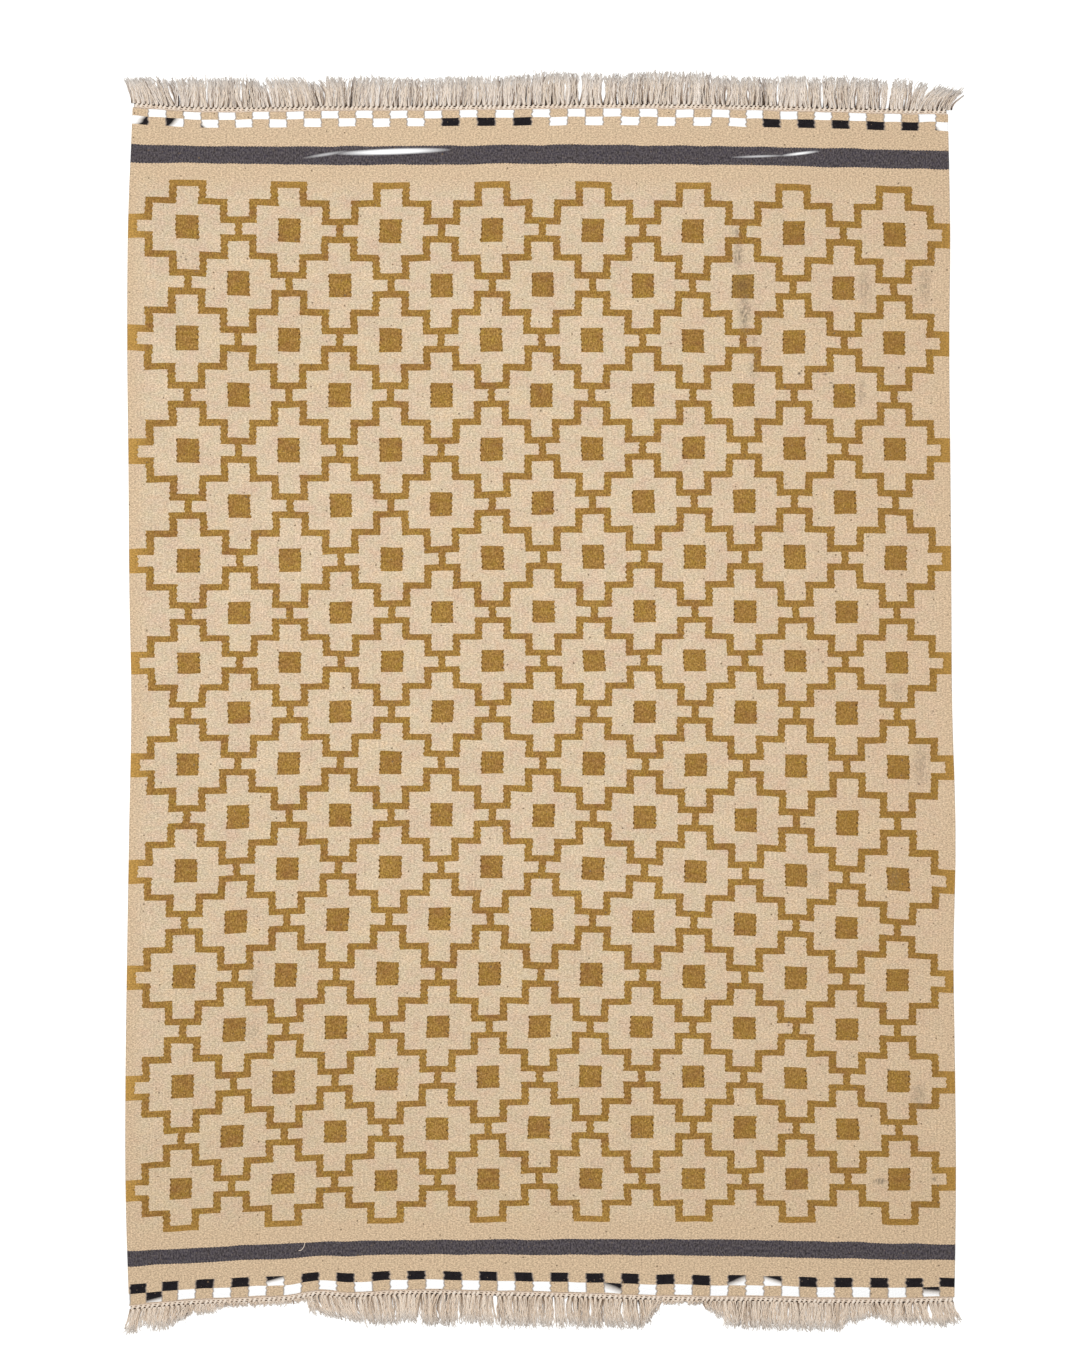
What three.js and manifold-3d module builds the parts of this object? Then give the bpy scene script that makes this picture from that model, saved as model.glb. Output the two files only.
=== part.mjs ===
// A flat-woven kilim rug laid out on a floor: one sheet of cloth, and along each
// end a twined edging that holds the fringe of warp ends.
// Millimetres, +Z up, +Y along the warp, resting on z = 0.
import * as THREE from "three";
import { mergeVertices } from "three/addons/utils/BufferGeometryUtils.js";
import Module from "manifold-3d";

// Cloth
const clothWidth = 1404;
const clothTop = 978; // far end, measured along the warp from the middle of the pattern
const clothBottom = -1041; // near end
const clothThickness = 4;
const clothRounding = 1; // the selvedges and ends are softened by this much
const selvedgeSteps = 40;
const endSteps = 56;

// Edging
const pieceGap = 0.3; // between the cloth and each edging
const edgingWidth = 8;
const edgingHeight = 5;
const edgingRounding = 1.5;

// Fringe
const strandPitch = 8.65;
const strandThickness = 3;
const strandSections = [
  { share: 0, width: 5.2 }, // at the root
  { share: 0.55, width: 4.4 },
  { share: 1, width: 2.2 }, // at the tip
];
const strandBend = 1.5; // a strand leaves the edging squarely, then leans over
const rootDepth = 4; // how far the roots run into the edging
const tipVariation = 2.5; // uneven cutting of the warp ends
const tipWave = { slow: 0.7, quick: 2.4 }; // radians from one strand to the next

const mergeDistance = 1e-3; // corners closer than this are one corner

// How far the selvedges wander from straight, at places along the warp.
const selvedges = [
  { along: -1041, left: -697, right: 697 },
  { along: -862, left: -703, right: 702 },
  { along: -661, left: -705, right: 702 },
  { along: -459, left: -703, right: 700 },
  { along: -255, left: -700, right: 705 },
  { along: -51, left: -698, right: 701 },
  { along: 154, left: -703, right: 701 },
  { along: 360, left: -706, right: 701 },
  { along: 567, left: -710, right: 701 },
  { along: 775, left: -710, right: 704 },
  { along: 978, left: -704, right: 702 },
];

// How far the two ends wander, at places across the weft.
const ends = [
  { across: -702, bottom: -1062, top: 982 },
  { across: -610, bottom: -1054, top: 975 },
  { across: -480, bottom: -1048, top: 974 },
  { across: -425, bottom: -1045, top: 975 },
  { across: -371, bottom: -1037, top: 976 },
  { across: -330, bottom: -1040, top: 976 },
  { across: -240, bottom: -1036, top: 976 },
  { across: -60, bottom: -1038, top: 978 },
  { across: 95, bottom: -1039, top: 980 },
  { across: 240, bottom: -1044, top: 979 },
  { across: 360, bottom: -1044, top: 977 },
  { across: 480, bottom: -1048, top: 974 },
  { across: 600, bottom: -1050, top: 971 },
  { across: 702, bottom: -1048, top: 970 },
];

// Locks of fringe, left to right: where their roots start and stop, where their
// tips start and stop, and how far the first and last tips reach past the edging.
const topLocks = [
  { from: -706, to: -650, tipFrom: -716, tipTo: -674, reachFrom: 40, reachTo: 44 },
  { from: -650, to: -614, tipFrom: -669, tipTo: -620, reachFrom: 45, reachTo: 45 },
  { from: -614, to: -574, tipFrom: -615, tipTo: -577, reachFrom: 48, reachTo: 47 },
  { from: -574, to: -505, tipFrom: -572, tipTo: -511, reachFrom: 48, reachTo: 48 },
  { from: -505, to: -466, tipFrom: -505, tipTo: -479, reachFrom: 49, reachTo: 36 },
  { from: -466, to: -393, tipFrom: -473, tipTo: -410, reachFrom: 47, reachTo: 45 },
  { from: -393, to: -367, tipFrom: -404, tipTo: -376, reachFrom: 40, reachTo: 40 },
  { from: -367, to: -336, tipFrom: -371, tipTo: -340, reachFrom: 48, reachTo: 46 },
  { from: -336, to: -271, tipFrom: -329, tipTo: -271, reachFrom: 47, reachTo: 48 },
  { from: -271, to: -171, tipFrom: -265, tipTo: -173, reachFrom: 46, reachTo: 45 },
  { from: -171, to: -86, tipFrom: -167, tipTo: -88, reachFrom: 46, reachTo: 47 },
  { from: -83, to: -16, tipFrom: -82, tipTo: -16, reachFrom: 47, reachTo: 49 },
  { from: -14, to: 66, tipFrom: -13, tipTo: 64, reachFrom: 53, reachTo: 51 },
  { from: 66, to: 140, tipFrom: 68, tipTo: 142, reachFrom: 50, reachTo: 47 },
  { from: 140, to: 193, tipFrom: 149, tipTo: 195, reachFrom: 50, reachTo: 52 },
  { from: 193, to: 293, tipFrom: 199, tipTo: 293, reachFrom: 53, reachTo: 52 },
  { from: 293, to: 417, tipFrom: 296, tipTo: 417, reachFrom: 46, reachTo: 46 },
  { from: 417, to: 485, tipFrom: 422, tipTo: 483, reachFrom: 51, reachTo: 47 },
  { from: 485, to: 535, tipFrom: 488, tipTo: 531, reachFrom: 50, reachTo: 51 },
  { from: 535, to: 593, tipFrom: 538, tipTo: 593, reachFrom: 50, reachTo: 47 },
  { from: 599, to: 634, tipFrom: 606, tipTo: 640, reachFrom: 48, reachTo: 48 },
  { from: 636, to: 650, tipFrom: 652, tipTo: 666, reachFrom: 42, reachTo: 42 },
  { from: 650, to: 708, tipFrom: 678, tipTo: 726, reachFrom: 38, reachTo: 31 },
];
const bottomLocks = [
  { from: -693, to: -673, tipFrom: -703, tipTo: -680, reachFrom: 40, reachTo: 38 },
  { from: -673, to: -654, tipFrom: -676, tipTo: -657, reachFrom: 30, reachTo: 30 },
  { from: -654, to: -625, tipFrom: -653, tipTo: -631, reachFrom: 37, reachTo: 36 },
  { from: -625, to: -583, tipFrom: -628, tipTo: -588, reachFrom: 34, reachTo: 14 },
  { from: -583, to: -549, tipFrom: -584, tipTo: -549, reachFrom: 15, reachTo: 14 },
  { from: -394, to: -374, tipFrom: -386, tipTo: -365, reachFrom: 26, reachTo: 32 },
  { from: -374, to: -344, tipFrom: -359, tipTo: -331, reachFrom: 36, reachTo: 37 },
  { from: -344, to: -300, tipFrom: -325, tipTo: -294, reachFrom: 38, reachTo: 40 },
  { from: -300, to: -243, tipFrom: -290, tipTo: -241, reachFrom: 46, reachTo: 48 },
  { from: -243, to: -202, tipFrom: -239, tipTo: -206, reachFrom: 44, reachTo: 44 },
  { from: -202, to: -143, tipFrom: -201, tipTo: -145, reachFrom: 51, reachTo: 51 },
  { from: -143, to: -99, tipFrom: -143, tipTo: -101, reachFrom: 43, reachTo: 49 },
  { from: -99, to: -81, tipFrom: -94, tipTo: -78, reachFrom: 49, reachTo: 49 },
  { from: -72, to: 19, tipFrom: -67, tipTo: 17, reachFrom: 50, reachTo: 50 },
  { from: 24, to: 39, tipFrom: 27, tipTo: 40, reachFrom: 49, reachTo: 50 },
  { from: 45, to: 106, tipFrom: 50, tipTo: 106, reachFrom: 47, reachTo: 48 },
  { from: 106, to: 172, tipFrom: 108, tipTo: 174, reachFrom: 47, reachTo: 48 },
  { from: 172, to: 202, tipFrom: 176, tipTo: 194, reachFrom: 41, reachTo: 15 },
  { from: 273, to: 305, tipFrom: 281, tipTo: 305, reachFrom: 11, reachTo: 28 },
  { from: 305, to: 347, tipFrom: 312, tipTo: 346, reachFrom: 40, reachTo: 45 },
  { from: 347, to: 442, tipFrom: 349, tipTo: 440, reachFrom: 46, reachTo: 45 },
  { from: 442, to: 511, tipFrom: 444, tipTo: 507, reachFrom: 45, reachTo: 45 },
  { from: 511, to: 553, tipFrom: 511, tipTo: 556, reachFrom: 36, reachTo: 24 },
  { from: 553, to: 602, tipFrom: 561, tipTo: 603, reachFrom: 22, reachTo: 37 },
  { from: 602, to: 677, tipFrom: 607, tipTo: 686, reachFrom: 31, reachTo: 41 },
  { from: 677, to: 695, tipFrom: 690, tipTo: 706, reachFrom: 39, reachTo: 32 },
];

const wasm = await Module();
wasm.setup();

const mix = THREE.MathUtils.lerp;

// A smooth curve through one column of a table.
function curveOf(rows, place, column) {
  const places = rows.map((row) => row[place]);
  const values = rows.map((row) => row[column]);
  const curve = new THREE.CubicInterpolant(places, values, 1);
  return (at) => curve.evaluate(at)[0];
}

const leftAt = curveOf(selvedges, "along", "left");
const rightAt = curveOf(selvedges, "along", "right");
const topAt = curveOf(ends, "across", "top");
const bottomAt = curveOf(ends, "across", "bottom");

// Where a point of the straight woven sheet lies on the floor.
function laid(across, along) {
  const acrossShare = across / clothWidth + 0.5;
  const alongShare = (along - clothBottom) / (clothTop - clothBottom);
  const x = mix(leftAt(along), rightAt(along), acrossShare);
  const y = mix(bottomAt(across), topAt(across), alongShare);
  return new THREE.Vector2(x, y);
}

// Evenly spaced numbers from one value to another, both included.
function steps(from, to, count) {
  return Array.from({ length: count + 1 }, (_, i) => mix(from, to, i / count));
}

// A plan outline raised into a slab with softened edges, standing on z = 0.
function slab(outline, height, rounding) {
  const geometry = new THREE.ExtrudeGeometry(new THREE.Shape(outline), {
    depth: height - 2 * rounding,
    bevelEnabled: rounding > 0,
    bevelThickness: rounding,
    bevelSize: rounding,
    bevelOffset: -rounding,
    bevelSegments: 1,
  });
  return geometry.translate(0, 0, rounding);
}

function clothGeometry() {
  const half = clothWidth / 2;
  const across = steps(-half, half, endSteps);
  const along = steps(clothBottom, clothTop, selvedgeSteps);
  const outline = [
    ...across.map((x) => laid(x, clothBottom)),
    ...along.slice(1).map((y) => laid(half, y)),
    ...across.slice(0, -1).reverse().map((x) => laid(x, clothTop)),
    ...along.slice(1, -1).reverse().map((y) => laid(-half, y)),
  ];
  return slab(outline, clothThickness, clothRounding);
}

// The edging's line at a distance past one end of the cloth; side is +1 at the top.
function edgingLine(side, distance) {
  const end = side > 0 ? clothTop : clothBottom;
  return (across) => {
    const point = laid(across, end);
    point.y += side * distance;
    return point;
  };
}

// A band between two such lines.
function bandOutline(side, near, far) {
  const half = clothWidth / 2;
  const across = steps(-half, half, endSteps);
  return [
    ...across.map(edgingLine(side, near)),
    ...across.reverse().map(edgingLine(side, far)),
  ];
}

// The even scatter of a hand-cut fringe, from -1 to 1.
function unevenness(index) {
  return Math.sin(index * tipWave.quick) * Math.cos(index * tipWave.slow);
}

// One strand's two sides, root to tip, as a tapering strip that leans over.
function strandSides(side, rootX, tipX, reach) {
  const edge = edgingLine(side, pieceGap + edgingWidth);
  const rootY = edge(rootX).y;
  const left = [];
  const right = [];
  for (const { share, width } of strandSections) {
    const x = mix(rootX, tipX, share ** strandBend);
    const y = rootY + side * reach * share;
    left.push(new THREE.Vector2(x - width / 2, y));
    right.push(new THREE.Vector2(x + width / 2, y));
  }
  return { left, right };
}

// The comb of strands, all on one root bar that the edging covers.
function combOutline(side, locks) {
  const rootNear = pieceGap + edgingWidth - rootDepth;
  const half = clothWidth / 2;
  const outline = steps(half, -half, endSteps).map(edgingLine(side, rootNear));
  let strandIndex = 0;
  for (const lock of locks) {
    const count = Math.round((lock.to - lock.from) / strandPitch);
    for (let i = 0; i < count; i += 1) {
      const share = (i + 0.5) / count;
      const rootX = mix(lock.from, lock.to, share);
      const tipX = mix(lock.tipFrom, lock.tipTo, share);
      const reach = mix(lock.reachFrom, lock.reachTo, share);
      const cut = tipVariation * unevenness(strandIndex);
      const { left, right } = strandSides(side, rootX, tipX, reach + cut);
      outline.push(...left, ...right.reverse());
      strandIndex += 1;
    }
  }
  return outline;
}

function solidOf(geometry) {
  geometry.deleteAttribute("normal");
  geometry.deleteAttribute("uv");
  const merged = mergeVertices(geometry, mergeDistance);
  return new wasm.Manifold(
    new wasm.Mesh({
      numProp: 3,
      vertProperties: merged.attributes.position.array,
      triVerts: new Uint32Array(merged.index.array),
    }),
  );
}

function geometryOf(solid) {
  const { vertProperties, triVerts } = solid.getMesh();
  return new THREE.BufferGeometry()
    .setAttribute("position", new THREE.BufferAttribute(vertProperties, 3))
    .setIndex(new THREE.BufferAttribute(triVerts, 1));
}

function fringeGeometry(side, locks) {
  const band = bandOutline(side, pieceGap, pieceGap + edgingWidth);
  const edging = slab(band, edgingHeight, edgingRounding);
  const comb = slab(combOutline(side, locks), strandThickness, 0);
  return geometryOf(solidOf(edging).add(solidOf(comb)));
}

const wovenWool = new THREE.MeshStandardMaterial({
  color: 0xd4bca0,
  roughness: 0.9,
  metalness: 0,
});
const warpYarn = new THREE.MeshStandardMaterial({
  color: 0xcfc3b3,
  roughness: 0.9,
  metalness: 0,
});

const rug = new THREE.Group();

function addPiece(name, geometry, material) {
  const piece = new THREE.Mesh(geometry, material);
  piece.name = name;
  rug.add(piece);
}

addPiece("cloth", clothGeometry(), wovenWool);
addPiece("fringe_top", fringeGeometry(1, topLocks), warpYarn);
addPiece("fringe_bottom", fringeGeometry(-1, bottomLocks), warpYarn);

// The origin is under the middle of the whole rug, fringes included.
const middle = new THREE.Box3().setFromObject(rug).getCenter(new THREE.Vector3());
rug.position.set(-middle.x, -middle.y, 0);

export default rug;
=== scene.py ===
import math
from functools import partial

import bpy
import numpy as np
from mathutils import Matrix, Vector


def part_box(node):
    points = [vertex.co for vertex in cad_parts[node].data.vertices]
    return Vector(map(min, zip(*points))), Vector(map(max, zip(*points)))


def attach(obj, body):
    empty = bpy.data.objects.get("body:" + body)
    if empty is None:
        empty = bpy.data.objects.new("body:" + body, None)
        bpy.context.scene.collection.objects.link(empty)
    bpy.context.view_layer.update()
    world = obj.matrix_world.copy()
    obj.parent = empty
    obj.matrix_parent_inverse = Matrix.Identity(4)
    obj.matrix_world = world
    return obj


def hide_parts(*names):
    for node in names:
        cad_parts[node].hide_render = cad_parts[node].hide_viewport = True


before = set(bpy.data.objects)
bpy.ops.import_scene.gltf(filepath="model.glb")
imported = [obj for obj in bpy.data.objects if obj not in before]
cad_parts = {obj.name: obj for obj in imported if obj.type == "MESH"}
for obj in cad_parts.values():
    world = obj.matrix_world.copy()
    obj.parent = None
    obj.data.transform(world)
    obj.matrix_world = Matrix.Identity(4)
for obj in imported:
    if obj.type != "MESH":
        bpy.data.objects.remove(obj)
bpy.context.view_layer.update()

mm = 0.001
noiseRange = (0.3, 0.7)  # a noise texture's values mostly lie between these
scatter = np.random.default_rng(11)


def linear(hexColour):  # sRGB hex to the linear colour that shaders take
    parts = [int(hexColour[i:i + 2], 16) / 255 for i in (1, 3, 5)]
    return [c / 12.92 if c <= 0.04045 else ((c + 0.055) / 1.055) ** 2.4 for c in parts] + [1.0]


def addNode(tree, kind, inputs=(), **settings):  # one node, its settings, its links, its first live output
    node = tree.nodes.new("ShaderNode" + kind)
    for name, value in settings.items():
        setattr(node, name, value)
    named = inputs.items() if isinstance(inputs, dict) else enumerate(inputs)
    for place, value in named:
        if isinstance(value, bpy.types.NodeSocket):
            tree.links.new(value, node.inputs[place])
        elif value is not None:
            node.inputs[place].default_value = value
    return next((s for s in node.outputs if s.enabled), node)


def newMaterial(name):  # an empty node tree whose shader is linked at the end
    material = bpy.data.materials.new(name)
    material.use_nodes = True
    material.node_tree.nodes.clear()
    return material, material.node_tree


# A smooth mesh with one UV per point, which rides on the only body and stands for a node of the frame.
def addPiece(name, points, faces, uv, uvName, material, replaced):
    mesh = bpy.data.meshes.new(name)
    mesh.from_pydata((points * mm).tolist(), [], faces)
    loopPoints = np.empty(len(mesh.loops), dtype=np.int32)
    mesh.loops.foreach_get("vertex_index", loopPoints)
    layer = mesh.uv_layers.new(name=uvName)
    layer.data.foreach_set("uv", uv[loopPoints].astype(np.float32).ravel())
    mesh.polygons.foreach_set("use_smooth", np.ones(len(mesh.polygons), dtype=bool))
    mesh.materials.append(material)
    piece = bpy.data.objects.new(name, mesh)
    bpy.context.scene.collection.objects.link(piece)
    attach(piece, "root")
    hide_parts(replaced)
    return piece


# A cubic through a table's points: at each point its slope is a weighted mean of the chords to both sides.
def curveThrough(places, values, at):
    places, values = np.asarray(places, float), np.asarray(values, float)
    slopes = np.gradient(values, places, axis=0)
    at = np.clip(at, places[0], places[-1])
    i = np.clip(np.searchsorted(places, at) - 1, 0, len(places) - 2)
    span = places[i + 1] - places[i]
    t = (at - places[i]) / span
    if values.ndim > 1:
        span, t = span[:, None], t[:, None]
    start = (1 + 2 * t) * (1 - t) ** 2 * values[i] + t * (1 - t) ** 2 * span * slopes[i]
    finish = t ** 2 * (3 - 2 * t) * values[i + 1] + t ** 2 * (t - 1) * span * slopes[i + 1]
    return start + finish


# The rug as it lies: size and places in mm, from a zero near the middle of the pattern, and how far its
# edges, wefts and warps wander from straight.
rug = {
    "width": 1404.0,
    "far": 978.0,  # places of the far and near ends
    "near": -1041.0,
    "thickness": 3.4,
    "selvedges": [  # along, left, right
        (-1041, -694, 697), (-862, -701, 701), (-661, -703, 701), (-459, -702, 700),
        (-255, -700, 705), (-51, -698, 701), (154, -703, 701), (360, -706, 701),
        (567, -710, 701), (775, -710, 704), (978, -704, 702),
    ],
    "ends": [  # across, near end, far end
        (-702, -1062, 982), (-610, -1054, 975), (-480, -1048, 974), (-425, -1045, 975),
        (-371, -1037, 976), (-330, -1040, 976), (-240, -1036, 976), (-60, -1038, 978),
        (95, -1042, 980), (240, -1046, 979), (360, -1047, 977), (480, -1050, 974),
        (600, -1050, 971), (702, -1048, 970),
    ],
    "sagColumns": [-700, -300, 0, 300, 700],
    "sags": [  # along, then how far the weft there lies above its straight line, left to right
        (-1041, -17, 0, 0, -4, -12), (-964, -20, -3, -1, -1, -11), (-854, -18, -1, 3, 3, 3),
        (-683, -16, 0, 5, 5, -6), (-598, -6, 2, 3, 1, -4), (-422, 0, 9, 8, 2, -13),
        (-332, -2, 6, 6, -3, -19), (-151, -1, 4, 3, -1, -5), (25, -3, 0, 1, 2, -3),
        (113, -8, -5, -4, -4, -7), (201, -5, -2, 2, 3, -1), (295, -6, -3, 1, 4, 0),
        (484, -1, -2, -2, -2, -6), (767, 8, -1, 1, -2, -10), (978, -3, -2, 1, 0, -9),
    ],
    "leanColumns": [-520, 0, 520],
    "leans": [  # along, then how far the warps there lie to the right of straight, left to right
        (-1041, -3, -2, 1), (-597, 0, -2, -2), (-241, 4, 4, 1), (113, 6, 4, 1), (484, 1, 2, 0),
        (978, -1, 4, 2),
    ],
    "margin": 606.0,  # past this the warps follow the selvedge
    "endReach": 70.0,  # within this of an end the wefts turn to follow it
}


# A table over the plan, with the place along in its first column: a curve along each further column, and
# across them a curve through what those give.
def overPlan(columns, table, across, along):
    rows = np.array(table, float)
    atColumns = curveThrough(rows[:, 0], rows[:, 1:], along)
    return curveThrough(columns, np.eye(len(columns)), across) @ atColumns.T


# Plan of the cloth: a weft's place along plus its sag, which near an end gives way to the end's own
# line; a warp's place across plus its lean, which in the margins gives way to the selvedge.
def layCloth(across, along):
    selvedges, ends = (np.array(rug[k], float) for k in ("selvedges", "ends"))
    left, right = (curveThrough(selvedges[:, 0], selvedges[:, k], along) for k in (1, 2))
    near, far = (curveThrough(ends[:, 0], ends[:, k], across) for k in (1, 2))
    sag = overPlan(rug["sagColumns"], rug["sags"], across, along)
    lean = overPlan(rug["leanColumns"], rug["leans"], across, along)
    half = rug["width"] / 2
    follow = np.clip((np.abs(across) - rug["margin"]) / (half - rug["margin"]), 0, 1)[:, None]
    selvedge = np.where(across[:, None] < 0, left + half, right - half)
    x = across[:, None] + lean * (1 - follow) + selvedge * follow
    share = (along - rug["near"]) / (rug["far"] - rug["near"])
    straight = near[:, None] + (far - near)[:, None] * share
    toEnd = np.minimum(along - rug["near"], rug["far"] - along)
    pull = np.clip(1 - toEnd / rug["endReach"], 0, 1)
    pull = pull * pull * (3 - 2 * pull)
    return x, (along + sag) * (1 - pull) + straight * pull


# The repeat, charted on squares counted from the middle of a diamond.
tapestry = {
    "pitch": 173.2,  # mm from one column of diamonds to the next
    "halfColumns": 4,  # pitches from the middle to where the pattern stops at each side
    "rowPlaces": [-1166.0, -832.0, -512.0, -151.0, 201.0, 767.0, 1144.0],  # mm along, where the beat changes
    "rowCounts": [11, 8.87, 7, 5, 3, 0, -2],  # repeats from the first row of diamonds
    "rows": 9,  # repeats from the first row of diamonds to the last
    "repeat": 180.0,  # mm along to a repeat, about
    "lastWeft": 1.2,  # mm of pale weft at each end
    "squaresAcross": 7.0,  # chart squares in half a pitch, and in half a repeat along
    "squaresAlong": 9.0,
    "steps": [(1.48, 6.95), (4.49, 3.95), (6.49, 0.94)],  # half width and half height of a diamond's steps
    "middle": (1.54, 1.98),  # the solid square in each diamond
    "outlineEnd": 0.47,  # repeats past the first and last rows where the outline is over
    "sideMiddles": 3.8,  # pitches: no solid squares past this
    "bars": [(881.5, 914), (-977, -951)],  # mm along, the dark stripes
    "cells": 47,  # in each check row
    "slipAcross": (-3.2, -1.7, -0.75, 1.85),  # pitches: a row's slip changes over each pair of these
    "checks": [  # mm along, first coloured cell, runs of cells in dark yarn, slip in cells from left to right
        {"from": 963.5, "to": 977, "first": 1, "dark": [], "slip": (0.09, 0.27, -0.24)},
        {"from": 949, "to": 963.5, "first": 0, "dark": [(18, 22), (36, 44)], "slip": (0.09, 0.27, -0.24)},
        {"from": -1022.5, "to": -1006.5, "first": 0, "dark": [(0, 7), (9, 33), (37, 46)],
         "slip": (-0.1, -0.1, -0.06)},
        {"from": -1039, "to": -1022.5, "first": 1, "dark": [], "slip": (-0.1, -0.1, -0.06)},
    ],
    "mixedCells": [  # check row, cell, the slanted line past which it is dark, how softly that changes
        {"row": 1, "cell": 0, "across": 1.0, "up": -0.4, "past": 0.35, "blur": 0.2},
        {"row": 1, "cell": 2, "across": -1.0, "up": 0.4, "past": -0.3, "blur": 0.2},
        {"row": 1, "cell": 4, "across": -1.0, "up": -0.35, "past": -0.24, "blur": 0.12},
        {"row": 1, "cell": 46, "across": -1.0, "up": -0.5, "past": -0.22, "blur": 0.14},
        {"row": 2, "cell": 8, "across": -0.45, "up": 1.0, "past": 0.33, "blur": 0.22},
        {"row": 2, "cell": 34, "across": -0.75, "up": 1.0, "past": -0.05, "blur": 0.35},
        {"row": 2, "cell": 36, "across": 0.6, "up": 1.0, "past": 0.84, "blur": 0.25},
        {"row": 3, "cell": 1, "across": -0.3, "up": 1.0, "past": -0.02, "blur": 0.25},
        {"row": 3, "cell": 27, "across": 0.55, "up": 1.0, "past": 0.7, "blur": 0.4},
        {"row": 3, "cell": 45, "across": 0.2, "up": 1.0, "past": 0.55, "blur": 0.3},
    ],
}


def repeatsAt(along):  # mm along the warp to repeats of the pattern, straight between changes of beat
    return np.interp(along, tapestry["rowPlaces"], tapestry["rowCounts"])


cloth = {
    "ribs": 270,  # real ones are about 4 mm apart; drawn at 5.2 mm so that they show
    "pointsPerRib": 4,
    "ribHeight": 0.35,
    "rowSpacing": 60.0,
    "endClear": 25.0,  # mm that the even rows keep off an end, and off a change of beat
    "beatClear": 12.0,
    "edgeDrop": 1.5,  # selvedges and ends turn down by this much
    "edgeReach": 3.0,
    "underRise": 0.5,  # share of the drop by which the underside turns up
    "waves": [  # height, then mm to a full wave across and along, and where it starts
        (0.5, 640.0, 1900.0, 0.4), (0.4, -1500.0, 520.0, 1.3), (0.3, 310.0, -760.0, 2.2),
    ],
}


# Height of the cloth: thickness, one arch for each rib, slow waves, and a round fall at every edge.
def clothHeights(across, along):
    ribPlace = (across / rug["width"] + 0.5) * cloth["ribs"]
    rib = cloth["ribHeight"] * np.abs(np.sin(np.pi * ribPlace))[:, None]
    x, y = across[:, None], along[None, :]
    wave = sum(h * (1 + np.sin(2 * np.pi * (x / wx + y / wy) + start)) for h, wx, wy, start in cloth["waves"])
    toSide = rug["width"] / 2 - np.abs(across)
    toEnd = np.minimum(along - rug["near"], rug["far"] - along)
    near = np.clip(1 - np.minimum(toSide[:, None], toEnd[None, :]) / cloth["edgeReach"], 0, 1)
    fall = cloth["edgeDrop"] * (1 - np.sqrt(1 - near ** 2))
    top = rug["thickness"] + rib + wave - fall
    bottom = np.maximum(wave - rib, 0) + cloth["underRise"] * fall
    return top, bottom


# Closed sheet from two grids of the same points: the upper, the lower turned over, and a rim between.
def sheetFaces(columns, rows):
    index = np.arange(columns * rows).reshape(columns, rows)
    top = np.stack([index[:-1, :-1], index[1:, :-1], index[1:, 1:], index[:-1, 1:]], -1).reshape(-1, 4)
    bottom = top[:, ::-1] + columns * rows
    loop = np.concatenate([index[:, 0], index[-1, 1:], index[-2::-1, -1], index[0, -2:0:-1]])
    after = np.roll(loop, -1)
    rim = np.stack([after, loop, loop + columns * rows, after + columns * rows], -1)
    return np.concatenate([top, bottom, rim])


def clothRows():  # rows at even steps, closer at the ends, and at every change of beat
    reach = cloth["edgeReach"]
    steps = np.arange(rug["near"] + cloth["endClear"], rug["far"] - cloth["endClear"], cloth["rowSpacing"])
    ends = [rug["near"], rug["near"] + reach / 3, rug["near"] + reach, rug["far"] - reach,
            rug["far"] - reach / 3, rug["far"]]
    beats = tapestry["rowPlaces"][1:-1]
    steps = steps[np.min(np.abs(steps[:, None] - np.array(beats)), axis=1) > cloth["beatClear"]]
    return np.sort(np.concatenate([steps, ends, beats]))


acrossPoints = np.linspace(-0.5, 0.5, cloth["ribs"] * cloth["pointsPerRib"] + 1) * rug["width"]
alongPoints = clothRows()
clothX, clothY = layCloth(acrossPoints, alongPoints)
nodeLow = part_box("cloth")[0]
shift = np.array([nodeLow[0] / mm - clothX.min(), nodeLow[1] / mm - clothY.min(), 0.0])  # onto the frame
print("cloth plan: shift", shift.round(2), "rows", len(alongPoints))


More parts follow.
